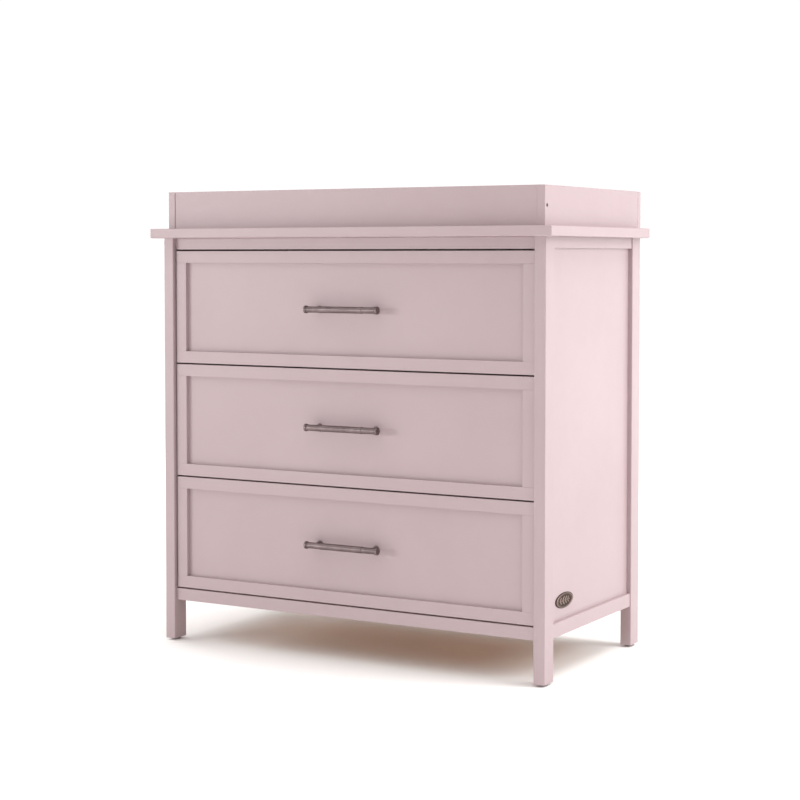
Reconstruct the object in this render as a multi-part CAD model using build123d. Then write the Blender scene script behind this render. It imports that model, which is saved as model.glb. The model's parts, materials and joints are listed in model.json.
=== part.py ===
"""Changing table: a three-drawer dresser with a screwed-on changing topper.

Millimetres, +Z up, front towards -Y, the user's right towards +X.
The origin is on the floor, under the middle of the whole object.
"""
import os

from build123d import *

# ---- Driving dimensions ------------------------------------------------------
# Carcass
BODY_WIDTH = 860.0          # over the posts
BODY_DEPTH = 441.0          # over the posts
POST_WIDTH = 23.0           # along X
POST_DEPTH = 39.0           # along Y
POST_EASE = 1.8
BOARD_EASE = 0.8
GLIDE_HEIGHT = 4.0
GLIDE_RADIUS = 9.0
GLIDE_EASE = 1.2
TOP_UNDERSIDE = 824.0
TOP_THICKNESS = 19.5
TOP_SIDE_OVERHANG = 20.5
TOP_FRONT_OVERHANG = 20.0
TOP_CORNER_EASE = 2.0
TOP_LOWER_EASE = 3.0
TOP_UPPER_EASE = 1.5

# Rails and panels between the posts
FRONT_TOP_RAIL = (801.3, TOP_UNDERSIDE)
FRONT_TOP_RAIL_SETBACK = 9.5
FRONT_TOP_RAIL_DEPTH = 29.5
FRONT_BOTTOM_RAIL = (83.75, 107.75)
FRONT_BOTTOM_RAIL_SETBACK = 7.0
FRONT_BOTTOM_RAIL_DEPTH = 24.0
SIDE_TOP_RAIL = (803.0, TOP_UNDERSIDE)
SIDE_BOTTOM_RAIL = (83.5, 110.0)
SIDE_RAIL_SETBACK = 2.0
SIDE_PANEL_SETBACK = 9.0
BACK_TOP_RAIL = (744.0, TOP_UNDERSIDE)
BACK_BOTTOM_RAIL = (83.5, 133.5)
BACK_RAIL_THICKNESS = 18.0
BACK_PANEL_THICKNESS = 3.0
BACK_PANEL_INSET = 10.0     # from the rear face of the back rails
BACK_PANEL_TONGUE = 6.0     # how far it runs into its grooves

# Changing topper
TOPPER_TOP = 918.0
TOPPER_WIDTH = 848.0
TOPPER_SIDE_THICKNESS = 16.0
TOPPER_FRONT_THICKNESS = 16.0
TOPPER_BACK_THICKNESS = 15.0
TOPPER_FRONT_SETBACK = 8.5  # side boards' ends, from the posts' front plane
TOPPER_FRONT_RECESS = 1.5   # front board, from the side boards' ends
TOPPER_TONGUE_HALF_WIDTH = 395.0
TOPPER_TONGUE_DROP = 44.0   # how far the back board reaches below the top panel
TOPPER_EASE = 1.2

# Drawers
LEVELS = ("bottom", "middle", "top")
DRAWER_GAP = 3.0            # above, below and between the fronts
FRONT_SIDE_GAP = 2.5
FRONT_SETBACK = 7.5         # from the posts' front plane
FRAME_THICKNESS = 20.0
FRAME_BAR = 24.0            # width of the front frame's rails and stiles
FRAME_EASE = 0.5
PANEL_RECESS = 8.0
BOX_HALF_WIDTH = 394.3      # leaves 12.7 for each slide
BOX_BOARD = 12.0
BOX_SIDE_HEIGHT = 165.0
BOX_REAR = 185.0
BOX_RIM_EASE = 1.5
BOX_BOTTOM_LIFT = 8.0       # side's lower edge above the front's lower edge
BOTTOM_THICKNESS = 3.5
BOTTOM_GROOVE_LIFT = 8.0    # bottom panel above the side's lower edge
BOTTOM_GROOVE_DEPTH = 6.0

# Roller slides
SLIDE_LENGTH = 350.0
STEEL = 1.0
CABINET_SLIDE_HEIGHT = 32.0
CABINET_SLIDE_REACH = 9.5   # lower flange, from the carcass side
CABINET_LIP_HEIGHT = 3.0
CABINET_TOP_LIP = 4.0
CABINET_SLIDE_GAP = 3.0     # behind the drawer front
DRAWER_SLIDE_GAP = 1.0      # behind the drawer front
SIDE_LIFT_ON_SLIDE = 6.0    # drawer side above the cabinet member's underside
ROLLER_RADIUS = 9.2
ROLLER_CLEARANCE = 0.3
ROLLER_WIDTH = 6.0
ROLLER_EASE = 0.6
ROLLER_SIDE_GAP = 0.3
ROLLER_INSET = 12.0         # roller axis from the end of its member
AXLE_RADIUS = 2.5
AXLE_CLEARANCE = 0.05
RIVET_RADIUS = 4.0
CABINET_RIVET = (0.8, 1.0)  # length of its spacer against the web, and of its outer head
DRAWER_RIVET = (3.2, 0.6)
DRAWER_FLANGE_TIP = 403.5
DRAWER_FOOT_FLANGE = 12.0   # flange under the drawer side

# Handle
HANDLE_SPACING = 128.0
HANDLE_BAR = (              # (distance from the middle, radius) of the turned bar, end outwards
    (0.0, 6.4),
    (45.4, 6.4),
    (45.8, 6.8),
    (47.2, 6.8),
    (47.6, 6.1),
    (75.0, 6.1),
    (75.4, 6.7),
    (76.6, 6.7),
    (77.0, 6.2),
    (77.8, 6.2),
    (78.2, 7.5),
    (81.9, 7.5),
    (82.6, 6.8),
)
HANDLE_PROUD = 9.0          # bar axis in front of the posts' front plane
HANDLE_POST_RADIUS = 4.6
HANDLE_FOOT_RADIUS = 6.6
HANDLE_FOOT_LENGTH = 3.0
HANDLE_FOOT_EASE = 1.0

# Fasteners and small parts
SCREW_RADIUS = 1.75
SCREW_HEAD = (3.4, 1.8)     # radius and height
SCREW_HEAD_EASE = 1.0
SCREW_CROSS = (0.8, 3.8, 1.0)           # width, length and depth
HOLE_CLEARANCE = 0.1
CABINET_SCREW_LENGTH = 12.0
CABINET_SCREW_LIFT = 25.5   # above the cabinet member's underside
CABINET_SCREW_STEPS = (22.0, 165.0, 325.0)
DRAWER_SCREW_LENGTH = 10.0
DRAWER_SCREW_LIFT = 10.2
DRAWER_SCREW_STEPS = (40.0, 180.0, 300.0)
TONGUE_SCREW_LENGTH = 28.0
TONGUE_SCREW_PLACES = (-340.0, -170.0, 170.0, 340.0)
HANDLE_SCREW_RADIUS = 2.0
HANDLE_SCREW_HEAD = (4.2, 2.6)
HANDLE_SCREW_CROSS = (1.0, 4.6, 1.2)
HANDLE_SCREW_REACH = 12.0   # into the handle's post
TOPPER_SCREW_RADIUS = 2.5
TOPPER_SCREW_HEAD_RADIUS = 3.5
TOPPER_SCREW_HEAD_LENGTH = 4.0
TOPPER_SCREW_LENGTH = 50.0
TOPPER_SCREW_SINK = 2.0
TOPPER_SCREW_SOCKET = (2.3, 2.5)        # radius over its corners, and depth
CAM_RADIUS = 7.5
CAM_DEPTH = 12.0
CAM_INSET = 30.0            # cam centre from the end of its rail
CAM_CROSS = (1.6, 9.0, 2.0)
PILOT_RADIUS = 1.5
PILOT_DEPTH = 12.0
PILOT_SPACING = 100.0
PILOT_HEIGHT = 762.0
BADGE_SIZE = (78.0, 29.0)
BADGE_THICKNESS = 1.6
BADGE_RIM_WIDTH = 2.4
BADGE_RIM_HEIGHT = 0.9
BADGE_BOSS_INSET = 6.2
BADGE_BOSS_HEIGHT = 0.5
BADGE_FROM_FRONT = 103.0
BADGE_HEIGHT = 145.0

# ---- Derived places ----------------------------------------------------------
TOTAL_DEPTH = TOP_FRONT_OVERHANG + BODY_DEPTH + TOPPER_BACK_THICKNESS
POST_FRONT = -TOTAL_DEPTH / 2 + TOP_FRONT_OVERHANG
POST_REAR = POST_FRONT + BODY_DEPTH
FRONT_POST_BACK = POST_FRONT + POST_DEPTH
REAR_POST_FRONT = POST_REAR - POST_DEPTH
OUTER = BODY_WIDTH / 2
INNER = OUTER - POST_WIDTH
TOP_SURFACE = TOP_UNDERSIDE + TOP_THICKNESS

FRONT_FACE = POST_FRONT + FRONT_SETBACK
FRONT_BACK = FRONT_FACE + FRAME_THICKNESS
PANEL_FACE = FRONT_FACE + PANEL_RECESS
FRONT_HALF_WIDTH = INNER - FRONT_SIDE_GAP
OPENING = FRONT_TOP_RAIL[0] - FRONT_BOTTOM_RAIL[1]
FRONT_HEIGHT = (OPENING - (len(LEVELS) + 1) * DRAWER_GAP) / len(LEVELS)
BOX_INNER = BOX_HALF_WIDTH - BOX_BOARD

CABINET_SLIDE_FRONT = FRONT_BACK + CABINET_SLIDE_GAP
DRAWER_SLIDE_FRONT = FRONT_BACK + DRAWER_SLIDE_GAP
ROLLER_AXIS_LIFT = STEEL + ROLLER_CLEARANCE + ROLLER_RADIUS
TRACK_LIFT = ROLLER_AXIS_LIFT + ROLLER_RADIUS + ROLLER_CLEARANCE
CABINET_ROLLER_Y = CABINET_SLIDE_FRONT + ROLLER_INSET
DRAWER_ROLLER_Y = DRAWER_SLIDE_FRONT + SLIDE_LENGTH - ROLLER_INSET
HANDLE_Y = POST_FRONT - HANDLE_PROUD

TOPPER_OUTER = TOPPER_WIDTH / 2
TOPPER_INNER = TOPPER_OUTER - TOPPER_SIDE_THICKNESS
TOPPER_FRONT = POST_FRONT + TOPPER_FRONT_SETBACK
TOPPER_FRONT_FACE = TOPPER_FRONT + TOPPER_FRONT_RECESS
TOPPER_REAR = POST_REAR + TOPPER_BACK_THICKNESS
TOPPER_LEVELS = (TOP_SURFACE, TOPPER_TOP)


# ---- Helpers -----------------------------------------------------------------
def block(x, y, z):
    """A square-edged board between (low, high) limits along X, Y and Z."""
    size = [high - low for low, high in (x, y, z)]
    corner = [low for low, high in (x, y, z)]
    return Pos(*corner) * Box(*size, align=(Align.MIN, Align.MIN, Align.MIN))


def eased(shape, radius):
    """The same board with every edge rounded over."""
    return fillet(shape.edges(), radius)


def rod(start, direction, radius, length):
    """A cylinder from a start point along +X, -X, +Y, -Y, +Z or -Z."""
    plane = Plane(origin=start, z_dir=direction)
    return plane * Cylinder(radius, length, align=(Align.CENTER, Align.CENTER, Align.MIN))


def mirrored(shape):
    """The same piece on the other side of the object."""
    return mirror(shape, about=Plane.YZ)


def save(name, *solids):
    """Write one node, made of one or more separate solids."""
    pieces = [solid for shape in solids for solid in shape.solids()]
    shape = pieces[0] if len(pieces) == 1 else Compound(children=pieces)
    export_step(shape, os.path.join("parts", name + ".step"))


def save_pair(name, right):
    """Write a right-hand piece and its mirror image as two nodes."""
    save(name + "_right", right)
    save(name + "_left", mirrored(right))


def front_bottom(level):
    """Height of the lower edge of a drawer's front."""
    first = FRONT_BOTTOM_RAIL[1] + DRAWER_GAP
    return first + LEVELS.index(level) * (FRONT_HEIGHT + DRAWER_GAP)


def slide_datum(level):
    """Height of the underside of a drawer's cabinet slides."""
    return front_bottom(level) + BOX_BOTTOM_LIFT - SIDE_LIFT_ON_SLIDE


def cross(width, length, depth):
    """The cutter for a cross-shaped recess, centred on the face it is sunk from."""
    return Box(width, length, 2 * depth) + Box(length, width, 2 * depth)


def pan_screw(seat, direction, length, radius=SCREW_RADIUS, head_size=SCREW_HEAD, recess=SCREW_CROSS):
    """A cross-head screw: its head stands on the seat, its shank runs along direction."""
    head_radius, head_height = head_size
    head = Cylinder(head_radius, head_height, align=(Align.CENTER, Align.CENTER, Align.MAX))
    head = fillet(head.edges().group_by(Axis.Z)[0], SCREW_HEAD_EASE)
    head -= Pos(0, 0, -head_height) * cross(*recess)
    shank = Cylinder(radius, length, align=(Align.CENTER, Align.CENTER, Align.MIN))
    return Plane(origin=seat, z_dir=direction) * (head + shank)


def screw_hole(seat, direction, length):
    """The hole that a screw's shank runs in."""
    return rod(seat, direction, SCREW_RADIUS + HOLE_CLEARANCE, length)


# ---- Carcass -----------------------------------------------------------------
def post(y):
    """A right-hand corner post, which is also a leg."""
    shape = block((INNER, OUTER), y, (GLIDE_HEIGHT, TOP_UNDERSIDE))
    upright = shape.edges().filter_by(Axis.Z)
    foot = shape.edges().group_by(Axis.Z)[0]
    return fillet(upright + foot, POST_EASE)


def cam(centre, inward):
    """A cam lock's disc and the pocket it sits in, sunk from an inner face of a rail."""
    pocket = rod(centre, inward, CAM_RADIUS + HOLE_CLEARANCE, CAM_DEPTH + HOLE_CLEARANCE)
    disc = rod(centre, inward, CAM_RADIUS, CAM_DEPTH)
    disc -= Plane(origin=centre, z_dir=inward) * cross(*CAM_CROSS)
    return disc, pocket


def rail_along_x(y, z, cam_face, inward):
    """A rail between two posts, front or back, with a cam lock near each end."""
    shape = eased(block((-INNER, INNER), y, z), BOARD_EASE)
    cams = []
    for side in (-1, 1):
        disc, pocket = cam((side * (INNER - CAM_INSET), *cam_face), inward)
        shape -= pocket
        cams.append(disc)
    return shape, cams


def side_rail(z):
    """A right-hand side rail, with a cam lock near each end of its inner face."""
    limits = (FRONT_POST_BACK, REAR_POST_FRONT)
    shape = eased(block((INNER, OUTER - SIDE_RAIL_SETBACK), limits, z), BOARD_EASE)
    cams = []
    for y in (limits[0] + CAM_INSET, limits[1] - CAM_INSET):
        disc, pocket = cam((INNER, y, sum(z) / 2), (1, 0, 0))
        shape -= pocket
        cams.append(disc)
    return shape, cams


def slide_screw_seats():
    """Screw seats of the right-hand cabinet slides, on their webs."""
    return [
        (INNER - STEEL, CABINET_SLIDE_FRONT + step, slide_datum(level) + CABINET_SCREW_LIFT)
        for level in LEVELS
        for step in CABINET_SCREW_STEPS
    ]


def side_panel():
    """The right-hand side panel, drilled for the slides' screws."""
    shape = block(
        (INNER, OUTER - SIDE_PANEL_SETBACK),
        (FRONT_POST_BACK, REAR_POST_FRONT),
        (SIDE_BOTTOM_RAIL[1], SIDE_TOP_RAIL[0]),
    )
    for seat in slide_screw_seats():
        shape -= screw_hole(seat, (1, 0, 0), CABINET_SCREW_LENGTH)
    return shape


def back_panel_groove():
    """The space of the back panel, which lies in grooves of the posts and back rails."""
    rear = POST_REAR - BACK_PANEL_INSET
    return block(
        (-INNER - BACK_PANEL_TONGUE, INNER + BACK_PANEL_TONGUE),
        (rear - BACK_PANEL_THICKNESS, rear),
        (BACK_BOTTOM_RAIL[1] - BACK_PANEL_TONGUE, BACK_TOP_RAIL[0] + BACK_PANEL_TONGUE),
    )


def top_panel():
    """The dresser's top, with softer lower edges than upper ones."""
    half = OUTER + TOP_SIDE_OVERHANG
    front = POST_FRONT - TOP_FRONT_OVERHANG
    shape = block((-half, half), (front, POST_REAR), (TOP_UNDERSIDE, TOP_SURFACE))
    shape = fillet(shape.edges().filter_by(Axis.Z), TOP_CORNER_EASE)
    shape = fillet(shape.edges().group_by(Axis.Z)[0], TOP_LOWER_EASE)
    return fillet(shape.edges().group_by(Axis.Z)[-1], TOP_UPPER_EASE)


def glide(x, y):
    """A turned plastic glide under one post."""
    shape = rod((x, y, 0), (0, 0, 1), GLIDE_RADIUS, GLIDE_HEIGHT)
    return fillet(shape.edges().group_by(Axis.Z)[0], GLIDE_EASE)


def badge():
    """An oval plaque on the right side: a plain plate with a raised rim and a low boss."""
    x = OUTER - SIDE_PANEL_SETBACK
    face = Plane(origin=(x, POST_FRONT + BADGE_FROM_FRONT, BADGE_HEIGHT), x_dir=(0, 1, 0), z_dir=(1, 0, 0))
    half_long, half_tall = BADGE_SIZE[0] / 2, BADGE_SIZE[1] / 2

    def oval(inset, height):
        outline = face * Ellipse(half_long - inset, half_tall - inset)
        return extrude(outline, amount=height)

    full_height = BADGE_THICKNESS + BADGE_RIM_HEIGHT
    rim = oval(0, full_height) - oval(BADGE_RIM_WIDTH, full_height)
    plate = oval(BADGE_RIM_WIDTH / 2, BADGE_THICKNESS)
    return rim + plate + oval(BADGE_BOSS_INSET, BADGE_THICKNESS + BADGE_BOSS_HEIGHT)


def build_carcass():
    cams = []
    groove = back_panel_groove()
    front_post = post((POST_FRONT, FRONT_POST_BACK))
    rear_post = post((REAR_POST_FRONT, POST_REAR)) - groove
    for seat in slide_screw_seats():
        front_post -= screw_hole(seat, (1, 0, 0), CABINET_SCREW_LENGTH)
    save_pair("post_front", front_post)
    save_pair("post_rear", rear_post)
    save_pair("side_panel", side_panel())

    for name, limits in (("side_top_rail", SIDE_TOP_RAIL), ("side_bottom_rail", SIDE_BOTTOM_RAIL)):
        rail, discs = side_rail(limits)
        save_pair(name, rail)
        cams += discs + [mirrored(disc) for disc in discs]

    front = POST_FRONT + FRONT_TOP_RAIL_SETBACK
    depth = (front, front + FRONT_TOP_RAIL_DEPTH)
    rail, discs = rail_along_x(depth, FRONT_TOP_RAIL, (sum(depth) / 2, FRONT_TOP_RAIL[0]), (0, 0, 1))
    save("front_top_rail", rail)
    cams += discs

    front = POST_FRONT + FRONT_BOTTOM_RAIL_SETBACK
    depth = (front, front + FRONT_BOTTOM_RAIL_DEPTH)
    middle = sum(FRONT_BOTTOM_RAIL) / 2
    rail, discs = rail_along_x(depth, FRONT_BOTTOM_RAIL, (depth[1], middle), (0, -1, 0))
    save("front_bottom_rail", rail)
    cams += discs

    depth = (POST_REAR - BACK_RAIL_THICKNESS, POST_REAR)
    rail, discs = rail_along_x(depth, BACK_TOP_RAIL, (depth[0], sum(BACK_TOP_RAIL) / 2), (0, 1, 0))
    rail -= groove
    for hole in topper_screw_holes():
        rail -= hole
    for x in (-PILOT_SPACING / 2, PILOT_SPACING / 2):
        rail -= rod((x, POST_REAR, PILOT_HEIGHT), (0, -1, 0), PILOT_RADIUS, PILOT_DEPTH)
    save("back_top_rail", rail)
    cams += discs

    rail, discs = rail_along_x(depth, BACK_BOTTOM_RAIL, (depth[0], sum(BACK_BOTTOM_RAIL) / 2), (0, 1, 0))
    save("back_bottom_rail", rail - groove)
    cams += discs

    save("back_panel", groove)
    save("top_panel", top_panel())
    post_middles = (POST_FRONT + POST_DEPTH / 2, POST_REAR - POST_DEPTH / 2)
    save("foot_glides", *[
        glide(side * (OUTER - POST_WIDTH / 2), y) for side in (-1, 1) for y in post_middles
    ])
    save("badge", badge())
    save("cam_locks", *cams)


# ---- Changing topper ---------------------------------------------------------
def topper_screw_places():
    """Seat, direction and reach of each screw of the topper.

    At each corner one screw joins two boards at mid-height, and a row of screws holds the
    back board's tongue to the back rail.
    """
    height = sum(TOPPER_LEVELS) / 2
    front_middle = TOPPER_FRONT_FACE + TOPPER_FRONT_THICKNESS / 2
    rear_x = (TOPPER_INNER + TOPPER_OUTER) / 2
    tongue_height = TOP_UNDERSIDE - TOPPER_TONGUE_DROP / 2
    places = []
    for side in (-1, 1):
        front_seat = (side * TOPPER_OUTER, front_middle, height)
        places.append((front_seat, (-side, 0, 0), TOPPER_SCREW_LENGTH))
        places.append(((side * rear_x, TOPPER_REAR, height), (0, -1, 0), TOPPER_SCREW_LENGTH))
    for x in TONGUE_SCREW_PLACES:
        places.append(((x, TOPPER_REAR, tongue_height), (0, -1, 0), TONGUE_SCREW_LENGTH))
    return places


def topper_screw_holes():
    """The holes of all the topper's screws, cut from whatever board they run through."""
    return [sunk_screw_hole(*place) for place in topper_screw_places()]


def sunk_screw(seat, direction, reach):
    """A hex-socket screw whose head lies a little below the board's face."""
    start = tuple(place + TOPPER_SCREW_SINK * part for place, part in zip(seat, direction))
    radius, depth = TOPPER_SCREW_SOCKET
    socket = Plane(origin=start, z_dir=direction) * extrude(RegularPolygon(radius, 6), amount=depth)
    head = rod(start, direction, TOPPER_SCREW_HEAD_RADIUS, TOPPER_SCREW_HEAD_LENGTH)
    return head + rod(start, direction, TOPPER_SCREW_RADIUS, reach) - socket


def sunk_screw_hole(seat, direction, reach):
    """The stepped hole for such a screw, from the board's face."""
    head_length = TOPPER_SCREW_SINK + TOPPER_SCREW_HEAD_LENGTH + HOLE_CLEARANCE
    length = TOPPER_SCREW_SINK + reach + HOLE_CLEARANCE
    head = rod(seat, direction, TOPPER_SCREW_HEAD_RADIUS + HOLE_CLEARANCE, head_length)
    return head + rod(seat, direction, TOPPER_SCREW_RADIUS + HOLE_CLEARANCE, length)


def build_topper():
    side = block((TOPPER_INNER, TOPPER_OUTER), (TOPPER_FRONT, POST_REAR), TOPPER_LEVELS)
    side = eased(side, TOPPER_EASE)
    front = block(
        (-TOPPER_INNER, TOPPER_INNER),
        (TOPPER_FRONT_FACE, TOPPER_FRONT_FACE + TOPPER_FRONT_THICKNESS),
        TOPPER_LEVELS,
    )
    front = eased(front, BOARD_EASE)
    thickness = (POST_REAR, TOPPER_REAR)
    upper = block((-TOPPER_OUTER, TOPPER_OUTER), thickness, (TOP_UNDERSIDE, TOPPER_TOP))
    tongue = block(
        (-TOPPER_TONGUE_HALF_WIDTH, TOPPER_TONGUE_HALF_WIDTH),
        thickness,
        (TOP_UNDERSIDE - TOPPER_TONGUE_DROP, TOP_UNDERSIDE),
    )
    back = eased(upper + tongue, TOPPER_EASE)
    for hole in topper_screw_holes():
        side -= hole
        front -= hole
        back -= hole
    save_pair("topper_side", side)
    save("topper_front", front)
    save("topper_back", back)
    save("topper_screws", *[sunk_screw(*place) for place in topper_screw_places()])


# ---- Slides ------------------------------------------------------------------
def cabinet_slide(datum):
    """The right-hand carcass member of one pair of slides, with its roller's axle."""
    length = (CABINET_SLIDE_FRONT, CABINET_SLIDE_FRONT + SLIDE_LENGTH)
    tip = INNER - CABINET_SLIDE_REACH
    top = datum + CABINET_SLIDE_HEIGHT
    shape = block((INNER - STEEL, INNER), length, (datum, top))
    shape += block((tip, INNER), length, (datum, datum + STEEL))
    lip_length = (length[0] + 2 * ROLLER_INSET, length[1])
    shape += block((tip, tip + STEEL), lip_length, (datum, datum + CABINET_LIP_HEIGHT))
    shape += block((INNER - CABINET_TOP_LIP, INNER), length, (top - STEEL, top))
    axis = (INNER - STEEL, CABINET_ROLLER_Y, datum + ROLLER_AXIS_LIFT)
    shape += rivet(axis, (-1, 0, 0), *CABINET_RIVET)
    for step in CABINET_SCREW_STEPS:
        seat = (INNER - STEEL, length[0] + step, datum + CABINET_SCREW_LIFT)
        shape -= screw_hole(seat, (1, 0, 0), STEEL)
    return shape


def cabinet_roller(datum):
    """The roller at the front of a right-hand carcass member."""
    x = INNER - STEEL - CABINET_RIVET[0] - ROLLER_SIDE_GAP
    return roller((x, CABINET_ROLLER_Y, datum + ROLLER_AXIS_LIFT), (-1, 0, 0))


def roller(start, direction):
    """A nylon roller with a running hole for its axle."""
    shape = rod(start, direction, ROLLER_RADIUS, ROLLER_WIDTH)
    shape = fillet(shape.edges(), ROLLER_EASE)
    return shape - rod(start, direction, AXLE_RADIUS + AXLE_CLEARANCE, ROLLER_WIDTH)


def rivet(root, direction, spacer, head):
    """A roller's axle, riveted to a web at root: spacer, pin and outer head."""
    headless = spacer + ROLLER_WIDTH + 2 * ROLLER_SIDE_GAP
    shape = rod(root, direction, RIVET_RADIUS, spacer)
    shape += rod(root, direction, AXLE_RADIUS, headless)
    outer = tuple(place + headless * part for place, part in zip(root, direction))
    return shape + rod(outer, direction, RIVET_RADIUS, head)


def drawer_slide(datum):
    """The right-hand drawer member: foot under the side, web, track and rear roller's axle."""
    length = (DRAWER_SLIDE_FRONT, DRAWER_SLIDE_FRONT + SLIDE_LENGTH)
    web_face = BOX_HALF_WIDTH + STEEL
    foot = (datum + SIDE_LIFT_ON_SLIDE - STEEL, datum + SIDE_LIFT_ON_SLIDE)
    track = (datum + TRACK_LIFT, datum + TRACK_LIFT + STEEL)
    shape = block((BOX_HALF_WIDTH, web_face), length, (foot[0], track[1]))
    shape += block((BOX_HALF_WIDTH - DRAWER_FOOT_FLANGE, web_face), length, foot)
    shape += block((BOX_HALF_WIDTH, DRAWER_FLANGE_TIP), length, track)
    axis = (web_face, DRAWER_ROLLER_Y, datum + ROLLER_AXIS_LIFT)
    shape += rivet(axis, (1, 0, 0), *DRAWER_RIVET)
    for step in DRAWER_SCREW_STEPS:
        seat = (web_face, length[0] + step, datum + DRAWER_SCREW_LIFT)
        shape -= screw_hole(seat, (-1, 0, 0), STEEL)
    return shape


def drawer_roller(datum):
    """The roller at the rear of a right-hand drawer member."""
    x = BOX_HALF_WIDTH + STEEL + DRAWER_RIVET[0] + ROLLER_SIDE_GAP
    return roller((x, DRAWER_ROLLER_Y, datum + ROLLER_AXIS_LIFT), (1, 0, 0))


def build_cabinet_slides():
    slides = [cabinet_slide(slide_datum(level)) for level in LEVELS]
    save("cabinet_slides_right", *slides)
    save("cabinet_slides_left", *[mirrored(slide) for slide in slides])
    for level in LEVELS:
        right = cabinet_roller(slide_datum(level))
        save(level + "_cabinet_rollers", right, mirrored(right))
    screws = [pan_screw(seat, (1, 0, 0), CABINET_SCREW_LENGTH) for seat in slide_screw_seats()]
    save("cabinet_slide_screws", *screws, *[mirrored(screw) for screw in screws])


# ---- Drawers -----------------------------------------------------------------
def front_frame(base):
    """Two rails across the full width, two stiles between them, and the bottom's groove."""
    thickness = (FRONT_FACE, FRONT_BACK)
    width = (-FRONT_HALF_WIDTH, FRONT_HALF_WIDTH)
    top = base + FRONT_HEIGHT
    lower = eased(block(width, thickness, (base, base + FRAME_BAR)), FRAME_EASE)
    upper = eased(block(width, thickness, (top - FRAME_BAR, top)), FRAME_EASE)
    stile = eased(block(
        (FRONT_HALF_WIDTH - FRAME_BAR, FRONT_HALF_WIDTH),
        thickness,
        (base + FRAME_BAR, top - FRAME_BAR),
    ), FRAME_EASE)
    return [lower - drawer_bottom(base), upper, stile, mirrored(stile)]


def front_panel(base, handle_height):
    """The recessed panel, flush with the frame at the back, drilled for the handle."""
    shape = block(
        (-FRONT_HALF_WIDTH + FRAME_BAR, FRONT_HALF_WIDTH - FRAME_BAR),
        (PANEL_FACE, FRONT_BACK),
        (base + FRAME_BAR, base + FRONT_HEIGHT - FRAME_BAR),
    )
    for x in (-HANDLE_SPACING / 2, HANDLE_SPACING / 2):
        shape -= rod(
            (x, FRONT_BACK, handle_height), (0, -1, 0),
            HANDLE_SCREW_RADIUS + HOLE_CLEARANCE, FRONT_BACK - PANEL_FACE,
        )
    return shape


def drawer_bottom(base):
    """The thin bottom, held in grooves of the sides and the front and nailed under the back."""
    half = BOX_INNER + BOTTOM_GROOVE_DEPTH
    low = base + BOX_BOTTOM_LIFT + BOTTOM_GROOVE_LIFT
    return block(
        (-half, half),
        (FRONT_BACK - BOTTOM_GROOVE_DEPTH, BOX_REAR),
        (low, low + BOTTOM_THICKNESS),
    )


def drawer_side(base, datum):
    """The right-hand side of a drawer box, drilled for its slide's screws."""
    low = base + BOX_BOTTOM_LIFT
    shape = block((BOX_INNER, BOX_HALF_WIDTH), (FRONT_BACK, BOX_REAR), (low, low + BOX_SIDE_HEIGHT))
    rim = shape.edges().filter_by(Axis.Y).group_by(Axis.Z)[-1]
    shape = fillet(rim, BOX_RIM_EASE) - drawer_bottom(base)
    for seat in drawer_screw_seats(datum):
        shape -= screw_hole(seat, (-1, 0, 0), DRAWER_SCREW_LENGTH)
    return shape


def drawer_screw_seats(datum):
    """Screw seats of a right-hand drawer member, on its web."""
    return [
        (BOX_HALF_WIDTH + STEEL, DRAWER_SLIDE_FRONT + step, datum + DRAWER_SCREW_LIFT)
        for step in DRAWER_SCREW_STEPS
    ]


def drawer_back(base):
    """The back board of a drawer box, standing on the bottom."""
    low = base + BOX_BOTTOM_LIFT + BOTTOM_GROOVE_LIFT + BOTTOM_THICKNESS
    high = base + BOX_BOTTOM_LIFT + BOX_SIDE_HEIGHT
    shape = block((-BOX_INNER, BOX_INNER), (BOX_REAR - BOX_BOARD, BOX_REAR), (low, high))
    return fillet(shape.edges().filter_by(Axis.X).group_by(Axis.Z)[-1], BOX_RIM_EASE)


def handle(height):
    """A turned bar with ringed and collared ends, on two posts."""
    right = [*HANDLE_BAR, (HANDLE_BAR[-1][0], 0)]
    outline = [(-x, radius) for x, radius in reversed(right)] + right[1:]
    profile = make_face(Polyline(*outline, close=True))
    bar = Pos(0, HANDLE_Y, height) * revolve(profile, Axis.X)
    solids = [bar]
    for x in (-HANDLE_SPACING / 2, HANDLE_SPACING / 2):
        seat = (x, PANEL_FACE, height)
        stem = rod(seat, (0, -1, 0), HANDLE_POST_RADIUS, PANEL_FACE - HANDLE_Y)
        foot = rod(seat, (0, -1, 0), HANDLE_FOOT_RADIUS, HANDLE_FOOT_LENGTH)
        foot = fillet(foot.edges().group_by(Axis.Y)[0], HANDLE_FOOT_EASE)
        bore = rod(seat, (0, -1, 0), HANDLE_SCREW_RADIUS, HANDLE_SCREW_REACH)
        solids.append(stem + foot - bore - bar)
    return solids


def handle_screws(height):
    """The two machine screws that hold a handle from inside the drawer."""
    reach = FRONT_BACK - PANEL_FACE + HANDLE_SCREW_REACH
    style = (HANDLE_SCREW_RADIUS, HANDLE_SCREW_HEAD, HANDLE_SCREW_CROSS)
    seats = [(x, FRONT_BACK, height) for x in (-HANDLE_SPACING / 2, HANDLE_SPACING / 2)]
    return [pan_screw(seat, (0, -1, 0), reach, *style) for seat in seats]


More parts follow.
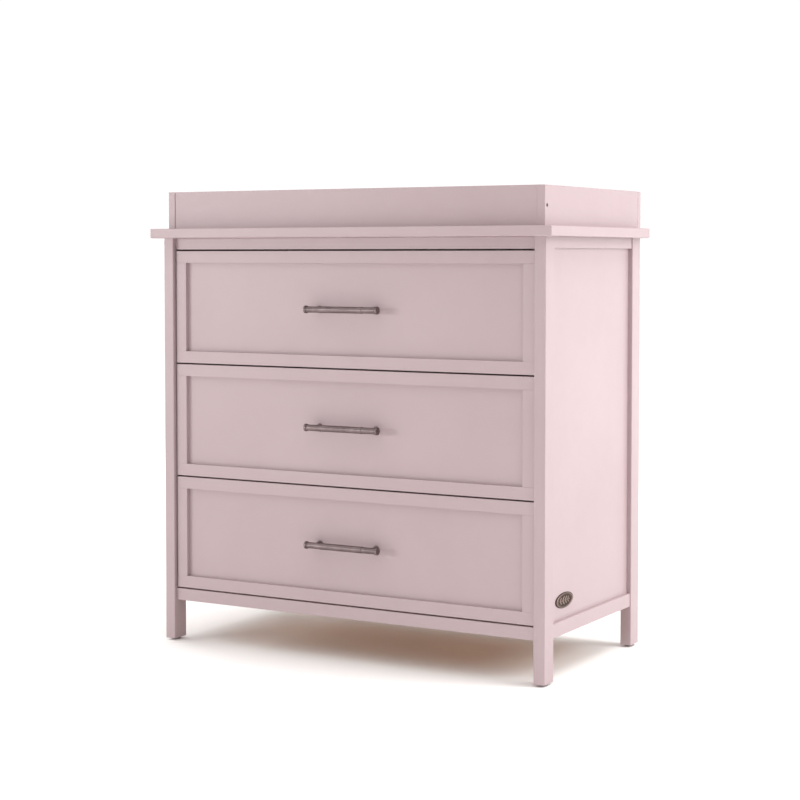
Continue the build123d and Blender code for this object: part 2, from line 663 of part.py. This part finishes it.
def build_drawer(level):
    base = front_bottom(level)
    datum = slide_datum(level)
    middle = base + FRONT_HEIGHT / 2
    name = level + "_drawer_"
    save(name + "front_frame", *front_frame(base))
    save(name + "front_panel", front_panel(base, middle))
    save_pair(name + "side", drawer_side(base, datum))
    save(name + "back", drawer_back(base))
    save(name + "bottom", drawer_bottom(base))
    slide = drawer_slide(datum)
    save(name + "slides", slide, mirrored(slide))
    right = drawer_roller(datum)
    save(name + "rollers", right, mirrored(right))
    save(name + "handle", *handle(middle))
    side_screws = [pan_screw(seat, (-1, 0, 0), DRAWER_SCREW_LENGTH) for seat in drawer_screw_seats(datum)]
    side_screws += [mirrored(screw) for screw in side_screws]
    save(name + "screws", *handle_screws(middle), *side_screws)


# ---- The whole object --------------------------------------------------------
os.makedirs("parts", exist_ok=True)
build_carcass()
build_topper()
build_cabinet_slides()
for level_name in LEVELS:
    build_drawer(level_name)
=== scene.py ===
"""Looks of the changing table: finishes, badge relief, floor, lights and camera around the CAD frame.

Metres, +Z up, front towards -Y. Every CAD board keeps its shape; this file gives it its surface.
"""
import json
import math

import bmesh
import bpy
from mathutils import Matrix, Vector


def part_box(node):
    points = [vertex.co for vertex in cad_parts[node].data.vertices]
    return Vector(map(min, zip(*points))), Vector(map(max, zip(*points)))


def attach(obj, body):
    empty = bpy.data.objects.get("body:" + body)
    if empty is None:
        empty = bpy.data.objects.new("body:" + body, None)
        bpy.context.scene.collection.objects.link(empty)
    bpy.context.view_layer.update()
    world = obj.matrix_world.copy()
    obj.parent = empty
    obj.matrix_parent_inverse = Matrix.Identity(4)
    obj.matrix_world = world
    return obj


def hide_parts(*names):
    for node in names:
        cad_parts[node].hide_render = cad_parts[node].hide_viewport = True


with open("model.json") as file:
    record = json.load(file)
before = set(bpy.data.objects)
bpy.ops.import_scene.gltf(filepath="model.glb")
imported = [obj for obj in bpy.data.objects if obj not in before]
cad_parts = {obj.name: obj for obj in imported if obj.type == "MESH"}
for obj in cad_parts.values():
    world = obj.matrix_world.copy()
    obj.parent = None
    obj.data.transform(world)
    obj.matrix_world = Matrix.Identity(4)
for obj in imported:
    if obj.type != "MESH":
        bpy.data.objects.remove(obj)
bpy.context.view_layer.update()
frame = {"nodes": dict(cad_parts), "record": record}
nodes = frame["nodes"]
slot_of = {part["node"]: part["material_slot"] for part in frame["record"]["subparts"]}

# ---- Driving values ----------------------------------------------------------
CAMERA_PLACE = (1.8646, -3.2308, 0.7880)
CAMERA_AZIMUTH = 29.99      # degrees, 0 looks along +Y
CAMERA_PITCH = 2.485        # degrees below the horizon
CAMERA_LENS = 82.79
CAMERA_SHIFT = -0.08        # of the picture's width

SKY_AT_HORIZON = 0.06       # strength of the light from the sky
SKY_OVERHEAD = 1.77
SKY_COLOUR = (1.0, 0.988, 0.976)

PINK = (0.430, 0.325, 0.339)
PINK_LIGHT = (0.439, 0.334, 0.347)
PINK_DEEP = (0.420, 0.316, 0.329)

BADGE_FIELD = 0.0009        # height of the ground above the panel
BADGE_PROUD = 0.0010        # height over the ground at which the patina is rubbed off
BADGE_RIM_RING = 0.865      # where the rim's ridge runs, as a share of the oval's radius
BADGE_RIM_WIDTH = 0.055     # half width of that ridge, as such a share
BADGE_BEADS = 44
BADGE_BEAD_RING = 0.735
BADGE_BEAD_WIDTH = 0.05
BADGE_BEAD_RISE = 0.0011
BADGE_STEM = (-0.024, 0.023)            # from end to end along the oval
BADGE_STEM_HALF_WIDTH = 0.0009
BADGE_STEM_RISE = 0.0009
BADGE_LEAVES = ((-0.0215, 0.0115), (-0.0105, 0.0135), (0.0005, 0.0125), (0.0110, 0.0100))
BADGE_LEAF_TURN = 38.0      # degrees from the stem
BADGE_LEAF_SLIMNESS = 0.21  # half width over length
BADGE_LEAF_RISE = 0.0012
BADGE_RINGS, BADGE_STEPS = 72, 200      # faces from centre to edge, and around


# ---- Node helpers ------------------------------------------------------------
class Finish:
    """A procedural material under construction: its node tree and its Principled shader."""

    def __init__(self, name, roughness=0.5, metallic=0.0, **sockets):
        self.material = bpy.data.materials.new(name)
        self.material.use_nodes = True
        self.tree = self.material.node_tree
        self.shader = self.tree.nodes["Principled BSDF"]
        self.shader.inputs["Roughness"].default_value = roughness
        self.shader.inputs["Metallic"].default_value = metallic
        for socket, value in sockets.items():
            self.shader.inputs[socket.replace("_", " ")].default_value = value
        self.place = self.node("ShaderNodeTexCoord").outputs["Object"]

    def node(self, kind, inputs=None, **settings):
        """A new node with its settings and inputs, each input a value or another node's output."""
        made = self.tree.nodes.new(kind)
        for name, value in settings.items():
            setattr(made, name, value)
        for name, value in (inputs or {}).items():
            if isinstance(value, bpy.types.NodeSocket):
                self.tree.links.new(value, made.inputs[name])
            else:
                made.inputs[name].default_value = value
        return made

    def stretched(self, scale):
        """Object coordinates scaled by a different amount along each axis."""
        return self.node("ShaderNodeMapping", {"Vector": self.place, "Scale": scale}).outputs[0]

    def noise(self, scale, detail=2.0, roughness=0.5, distortion=0.0, vector=None):
        """Fractal noise around 0.5, over object coordinates unless a vector is given."""
        inputs = {
            "Vector": vector or self.place, "Scale": scale, "Detail": detail,
            "Roughness": roughness, "Distortion": distortion,
        }
        return self.node("ShaderNodeTexNoise", inputs).outputs["Fac"]

    def ramp(self, factor, stops):
        """A colour ramp through (position, colour) stops."""
        made = self.node("ShaderNodeValToRGB", {"Fac": factor})
        elements = made.color_ramp.elements
        while len(elements) < len(stops):
            elements.new(1.0)
        for element, (position, colour) in zip(elements, stops):
            element.position = position
            element.color = (*colour, 1.0)
        return made.outputs["Color"]

    def range(self, value, low, high, source=(0.3, 0.7)):
        """A value mapped from a source range to low..high."""
        inputs = {
            "Value": value, "From Min": source[0], "From Max": source[1],
            "To Min": low, "To Max": high,
        }
        return self.node("ShaderNodeMapRange", inputs).outputs["Result"]

    def mix(self, factor, first, second):
        """The first colour, with the second mixed over it by a factor."""
        made = self.node("ShaderNodeMix", data_type="RGBA")
        for index, value in ((0, factor), (6, first), (7, second)):
            if isinstance(value, bpy.types.NodeSocket):
                self.tree.links.new(value, made.inputs[index])
            else:
                made.inputs[index].default_value = value if index == 0 else (*value, 1.0)
        return made.outputs[2]

    def bump(self, height, distance, strength, after=None):
        """A normal from a height; `after` is a coarser bump that it adds to."""
        inputs = {"Height": height, "Distance": distance, "Strength": strength}
        if after is not None:
            inputs["Normal"] = after
        return self.node("ShaderNodeBump", inputs).outputs["Normal"]

    def set(self, **sockets):
        """Link outputs to the shader's sockets, such as Base_Color=output."""
        for socket, value in sockets.items():
            self.tree.links.new(value, self.shader.inputs[socket.replace("_", " ")])
        return self.material


# ---- Finishes ----------------------------------------------------------------
GRAIN = {"x": (0.6, 14.0, 14.0), "y": (14.0, 0.6, 14.0), "z": (14.0, 14.0, 0.6)}


def painted_wood(name, grain=None, shades=(PINK_DEEP, PINK, PINK_LIGHT)):
    """Satin sprayed paint: soft mottling, fine orange peel and, on solid wood, faint grain."""
    finish = Finish(name, roughness=0.42, Coat_Weight=0.08, Coat_Roughness=0.25)
    cloud = finish.noise(5.0, detail=4.0, roughness=0.6)
    colour = finish.ramp(cloud, [(0.30, shades[0]), (0.5, shades[1]), (0.72, shades[2])])
    speck = finish.noise(420.0, detail=3.0, roughness=0.7)
    dust = finish.range(speck, 0.0, 0.06, source=(0.5, 0.8))
    colour = finish.mix(dust, colour, (0.46, 0.37, 0.38))
    peel = finish.noise(520.0, detail=2.0, roughness=0.45)
    normal = finish.bump(peel, 0.00010, 0.35)
    sheen = finish.noise(60.0, detail=5.0, roughness=0.6)
    if grain:
        fibres = finish.noise(28.0, detail=6.0, roughness=0.6, vector=finish.stretched(GRAIN[grain]))
        normal = finish.bump(fibres, 0.00016, 0.45, after=normal)
        shadow = finish.range(fibres, 0.0, 0.05, source=(0.35, 0.75))
        colour = finish.mix(shadow, colour, tuple(0.8 * part for part in shades[0]))
    return finish.set(
        Base_Color=colour,
        Roughness=finish.range(sheen, 0.43, 0.47),
        Normal=normal,
    )


def bare_wood(name, grain):
    """Clear-lacquered pale wood of the drawer boxes, its grain along one axis."""
    finish = Finish(name, Coat_Weight=0.15, Coat_Roughness=0.35)
    scale = tuple(0.5 * part for part in GRAIN[grain])
    vector = finish.stretched(scale)
    broad = finish.noise(3.0, detail=3.0, distortion=0.8, vector=vector)
    fine = finish.noise(60.0, detail=6.0, roughness=0.65, vector=finish.stretched(GRAIN[grain]))
    pale, tan, brown = (0.50, 0.37, 0.235), (0.43, 0.30, 0.180), (0.31, 0.20, 0.110)
    colour = finish.ramp(broad, [(0.32, tan), (0.48, pale), (0.6, tan), (0.72, pale)])
    colour = finish.mix(finish.range(fine, 0.0, 0.5, source=(0.45, 0.75)), colour, brown)
    return finish.set(
        Base_Color=colour,
        Roughness=finish.range(fine, 0.42, 0.6),
        Normal=finish.bump(fine, 0.00012, 0.5),
    )


def hardboard(name, shades, gloss):
    """Thin pressed-fibre board: a mottled, slightly pebbled face."""
    finish = Finish(name)
    flecks = finish.noise(160.0, detail=6.0, roughness=0.75)
    cloud = finish.noise(9.0, detail=4.0)
    colour = finish.ramp(cloud, [(0.35, shades[0]), (0.65, shades[1])])
    colour = finish.mix(finish.range(flecks, 0.0, 0.35, source=(0.48, 0.75)), colour, shades[2])
    return finish.set(
        Base_Color=colour,
        Roughness=finish.range(flecks, *gloss),
        Normal=finish.bump(flecks, 0.00012, 0.5),
    )


def metal(name, shades, gloss, brushed=None):
    """Bare or plated metal: fine brushing along one axis and cloudy tarnish."""
    finish = Finish(name, metallic=1.0)
    vector = finish.stretched(brushed) if brushed else None
    lines = finish.noise(500.0, detail=4.0, roughness=0.7, vector=vector)
    cloud = finish.noise(55.0, detail=5.0, roughness=0.6)
    colour = finish.ramp(cloud, [(0.32, shades[0]), (0.68, shades[1])])
    return finish.set(
        Base_Color=finish.mix(finish.range(lines, 0.0, 0.35), colour, shades[0]),
        Roughness=finish.range(lines, *gloss),
        Normal=finish.bump(lines, 0.00004, 0.5),
    )


def antique_metal(name, foot):
    """Cast plaque metal: dark patina in the hollows, rubbed brown on whatever stands proud."""
    finish = Finish(name, metallic=0.7)
    across = finish.node("ShaderNodeSeparateXYZ", {"Vector": finish.place}).outputs["X"]
    proud = finish.range(across, 0.0, 1.0, source=(foot + BADGE_FIELD, foot + BADGE_FIELD + BADGE_PROUD))
    patina = finish.noise(700.0, detail=5.0, roughness=0.65)
    height = finish.node("ShaderNodeMath", {0: proud, 1: finish.range(patina, -0.15, 0.15)}).outputs[0]
    colour = finish.ramp(height, [
        (0.0, (0.018, 0.007, 0.006)), (0.35, (0.040, 0.020, 0.016)), (0.95, (0.26, 0.185, 0.155))])
    return finish.set(
        Base_Color=colour,
        Roughness=finish.range(patina, 0.38, 0.6),
        Normal=finish.bump(patina, 0.00006, 0.6),
    )


def coated_steel(name):
    """White epoxy-coated sheet steel with a pebbled powder-coat skin and running marks."""
    finish = Finish(name, Coat_Weight=0.2, Coat_Roughness=0.3)
    pebble = finish.noise(900.0, detail=2.0)
    rubbed = finish.noise(30.0, detail=5.0, vector=finish.stretched((6.0, 0.5, 6.0)))
    colour = finish.ramp(rubbed, [(0.4, (0.52, 0.51, 0.49)), (0.75, (0.43, 0.42, 0.40))])
    return finish.set(
        Base_Color=colour,
        Roughness=finish.range(rubbed, 0.32, 0.5),
        Normal=finish.bump(pebble, 0.00008, 0.6),
    )


def moulded_plastic(name, shades, gloss):
    """Moulded plastic with a fine matt texture and slight scuffing."""
    finish = Finish(name)
    grain = finish.noise(1400.0, detail=2.0)
    scuff = finish.noise(120.0, detail=6.0, roughness=0.7)
    return finish.set(
        Base_Color=finish.ramp(scuff, [(0.35, shades[0]), (0.7, shades[1])]),
        Roughness=finish.range(scuff, *gloss),
        Normal=finish.bump(grain, 0.00005, 0.6),
    )


paint = {
    "x": painted_wood("paint_grain_x", "x"),
    "y": painted_wood("paint_grain_y", "y"),
    "z": painted_wood("paint_grain_z", "z"),
    None: painted_wood("paint_board"),
}
box_wood = {"x": bare_wood("box_wood_x", "x"), "y": bare_wood("box_wood_y", "y")}
finishes = {
    "back_board": hardboard(
        "back_board", ((0.352, 0.264, 0.277), (0.366, 0.275, 0.288), (0.310, 0.230, 0.241)), (0.5, 0.7)),
    "drawer_bottom": hardboard(
        "drawer_bottom", ((0.45, 0.205, 0.062), (0.50, 0.235, 0.075), (0.32, 0.135, 0.042)), (0.45, 0.65)),
    "handle_metal": metal(
        "handle_metal", ((0.160, 0.124, 0.124), (0.235, 0.182, 0.184)), (0.30, 0.46), (0.06, 1.0, 1.0)),
    "badge_metal": antique_metal("badge_metal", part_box("badge")[0].x),
    "slide_steel": coated_steel("slide_steel"),
    "roller_nylon": moulded_plastic(
        "roller_nylon", ((0.50, 0.50, 0.48), (0.58, 0.58, 0.56)), (0.4, 0.6)),
    "glide_plastic": moulded_plastic(
        "glide_plastic", ((0.24, 0.205, 0.205), (0.30, 0.260, 0.260)), (0.45, 0.65)),
    "cam_metal": metal("cam_metal", ((0.36, 0.35, 0.33), (0.50, 0.49, 0.46)), (0.4, 0.6)),
    "dark_steel": metal("dark_steel", ((0.030, 0.026, 0.025), (0.060, 0.052, 0.050)), (0.4, 0.6)),
    "screw_steel": metal("screw_steel", ((0.42, 0.42, 0.43), (0.58, 0.58, 0.59)), (0.25, 0.4)),
}


def long_axis(node):
    """The axis that a board is longest along."""
    low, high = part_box(node)
    size = high - low
    return "xyz"[max(range(3), key=lambda axis: size[axis])]


def finish_of(node):
    """The finish of a CAD node, from its material slot and, for wood, the way its grain runs."""
    slot = slot_of[node]
    if slot == "painted_wood":
        return paint[None if "panel" in node else long_axis(node)]
    if slot == "drawer_wood":
        return box_wood[long_axis(node)]
    return finishes[slot]


def dress_cad_nodes():
    """Give every CAD node its one finish."""
    for name, node in nodes.items():
        node.data.materials.clear()
        node.data.materials.append(finish_of(name))


# ---- Badge -------------------------------------------------------------------
def leaf_height(along, across, length):
    """Height of one leaf over the ground, in the leaf's own directions; 0 outside it."""
    share = along / length
    if not 0.0 < share < 1.0:
        return 0.0
    half_width = BADGE_LEAF_SLIMNESS * length * math.sin(math.pi * share ** 0.8)
    side = abs(across) / half_width
    if side >= 1.0:
        return 0.0
    vein = 0.35 * math.exp(-(side / 0.18) ** 2)
    return BADGE_LEAF_RISE * math.sqrt(1.0 - side ** 2) * (1.0 - vein)


def badge_height(u, v, share, angle, full):
    """Height of the badge's face at a point of the oval: rim, beads and a sprig of leaves."""
    height = BADGE_FIELD
    ridge = 1.0 - ((share - BADGE_RIM_RING) / BADGE_RIM_WIDTH) ** 2
    if ridge > 0.0:
        return height + (full - height) * math.sqrt(ridge)
    radial = (share - BADGE_BEAD_RING) / BADGE_BEAD_WIDTH
    bead = math.cos(BADGE_BEADS / 2 * angle) ** 2 - radial ** 2
    height += BADGE_BEAD_RISE * math.sqrt(max(bead, 0.0))
    stem = 1.0 - (v / BADGE_STEM_HALF_WIDTH) ** 2
    if BADGE_STEM[0] < u < BADGE_STEM[1] and stem > 0.0:
        height = max(height, BADGE_FIELD + BADGE_STEM_RISE * math.sqrt(stem))
    for start, length in BADGE_LEAVES:
        for side in (-1, 1):
            turn = side * math.radians(BADGE_LEAF_TURN)
            across = -(u - start) * math.sin(turn) + v * math.cos(turn)
            along = (u - start) * math.cos(turn) + v * math.sin(turn)
            height = max(height, BADGE_FIELD + leaf_height(along, across, length))
    return height


def make_badge():
    """The oval plaque in relief, on the right side panel."""
    low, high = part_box("badge")
    centre = (low + high) / 2
    half = (high - low) / 2
    full = high.x - low.x
    mesh = bmesh.new()
    rings, steps = BADGE_RINGS, BADGE_STEPS
    middle = mesh.verts.new((low.x + BADGE_FIELD + BADGE_STEM_RISE, centre.y, centre.z))
    previous = None
    for ring in range(1, rings + 1):
        share = ring / rings
        row = []
        for step in range(steps):
            angle = 2 * math.pi * step / steps
            u, v = half.y * share * math.cos(angle), half.z * share * math.sin(angle)
            height = badge_height(u, v, share, angle, full)
            row.append(mesh.verts.new((low.x + height, centre.y + u, centre.z + v)))
        for step in range(steps):
            after = (step + 1) % steps
            if previous:
                mesh.faces.new((previous[step], row[step], row[after], previous[after]))
            else:
                mesh.faces.new((middle, row[step], row[after]))
        previous = row
    foot = [mesh.verts.new((low.x, vert.co.y, vert.co.z)) for vert in previous]
    for step in range(steps):
        after = (step + 1) % steps
        mesh.faces.new((previous[step], foot[step], foot[after], previous[after]))
    mesh.faces.new(list(reversed(foot)))
    bmesh.ops.recalc_face_normals(mesh, faces=mesh.faces)
    data = bpy.data.meshes.new("badge_relief")
    mesh.to_mesh(data)
    mesh.free()
    data.shade_smooth()
    data.materials.append(finishes["badge_metal"])
    badge = bpy.data.objects.new("badge_relief", data)
    bpy.context.scene.collection.objects.link(badge)
    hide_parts("badge")
    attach(badge, "carcass")


# ---- Stage -------------------------------------------------------------------
def make_floor():
    """A plain pale floor, level with the glides' undersides."""
    mesh = bpy.data.meshes.new("floor")
    half = 40.0
    corners = [(-half, -half, 0), (half, -half, 0), (half, half, 0), (-half, half, 0)]
    mesh.from_pydata(corners, [], [(0, 1, 2, 3)])
    floor = bpy.data.objects.new("floor", mesh)
    bpy.context.scene.collection.objects.link(floor)
    finish = Finish("floor_white", roughness=0.7)
    cloud = finish.noise(2.0, detail=3.0)
    finish.set(Base_Color=finish.ramp(cloud, [(0.3, (0.945, 0.940, 0.930)), (0.7, (0.955, 0.950, 0.940))]))
    mesh.materials.append(finish.material)


def area_light(name, place, target, size, power):
    """A soft rectangular lamp, aimed at a target."""
    light = bpy.data.lights.new(name, "AREA")
    light.shape = "RECTANGLE"
    light.size, light.size_y = size
    light.energy = power
    lamp = bpy.data.objects.new(name, light)
    bpy.context.scene.collection.objects.link(lamp)
    lamp.location = place
    lamp.rotation_euler = (Vector(target) - Vector(place)).to_track_quat("-Z", "Y").to_euler()


def make_world():
    """White to the camera; a softer sky, brighter overhead, as light."""
    world = bpy.data.worlds.new("studio")
    bpy.context.scene.world = world
    world.use_nodes = True
    tree = world.node_tree
    tree.nodes.clear()

    def node(kind, **inputs):
        made = tree.nodes.new(kind)
        for name, value in inputs.items():
            if isinstance(value, bpy.types.NodeSocket):
                tree.links.new(value, made.inputs[name])
            else:
                made.inputs[name].default_value = value
        return made

    height = node("ShaderNodeSeparateXYZ", Vector=node("ShaderNodeTexCoord").outputs["Generated"])
    sky = node("ShaderNodeMapRange", Value=height.outputs["Z"])
    sky.inputs["To Min"].default_value = SKY_AT_HORIZON
    sky.inputs["To Max"].default_value = SKY_OVERHEAD
    ambient = node("ShaderNodeBackground", Strength=sky.outputs["Result"])
    ambient.inputs["Color"].default_value = (*SKY_COLOUR, 1.0)
    white = node("ShaderNodeBackground", Strength=1.05)
    white.inputs["Color"].default_value = (1.0, 1.0, 1.0, 1.0)
    seen = node("ShaderNodeLightPath").outputs["Is Camera Ray"]
    mix = tree.nodes.new("ShaderNodeMixShader")
    tree.links.new(seen, mix.inputs[0])
    tree.links.new(ambient.outputs[0], mix.inputs[1])
    tree.links.new(white.outputs[0], mix.inputs[2])
    output = tree.nodes.new("ShaderNodeOutputWorld")
    tree.links.new(mix.outputs[0], output.inputs["Surface"])


def make_lights():
    """Keys from the right and above, a low fill from the left, two softboxes that the paint mirrors."""
    middle = (0.0, 0.0, 0.5)
    area_light("key_right", (3.5, 0.8, 2.2), middle, (2.0, 1.8), 76.0)
    area_light("over_right", (1.7, 0.1, 3.6), (0.6, 0.0, 0.0), (1.2, 1.2), 36.0)
    area_light("key_left", (-3.6, 0.7, 1.05), (0.0, 0.0, 0.1), (1.6, 0.8), 42.0)
    area_light("front_low", (-4.6, -5.2, 1.05), (0.0, -0.2, 0.5), (2.6, 0.9), 113.0)
    area_light("side_gloss", (2.2, 3.6, 0.60), (0.4, 0.0, 0.45), (2.6, 1.2), 18.0)


def make_camera():
    """A long lens at the front right, a little above the table's middle."""
    data = bpy.data.cameras.new("camera")
    data.lens = CAMERA_LENS
    data.shift_y = CAMERA_SHIFT
    camera = bpy.data.objects.new("camera", data)
    bpy.context.scene.collection.objects.link(camera)
    camera.location = CAMERA_PLACE
    camera.rotation_euler = (
        math.radians(90.0 - CAMERA_PITCH), 0.0, math.radians(CAMERA_AZIMUTH))
    bpy.context.scene.camera = camera


dress_cad_nodes()
make_badge()
make_floor()
make_world()
make_lights()
make_camera()
bpy.context.scene.view_settings.view_transform = "Standard"
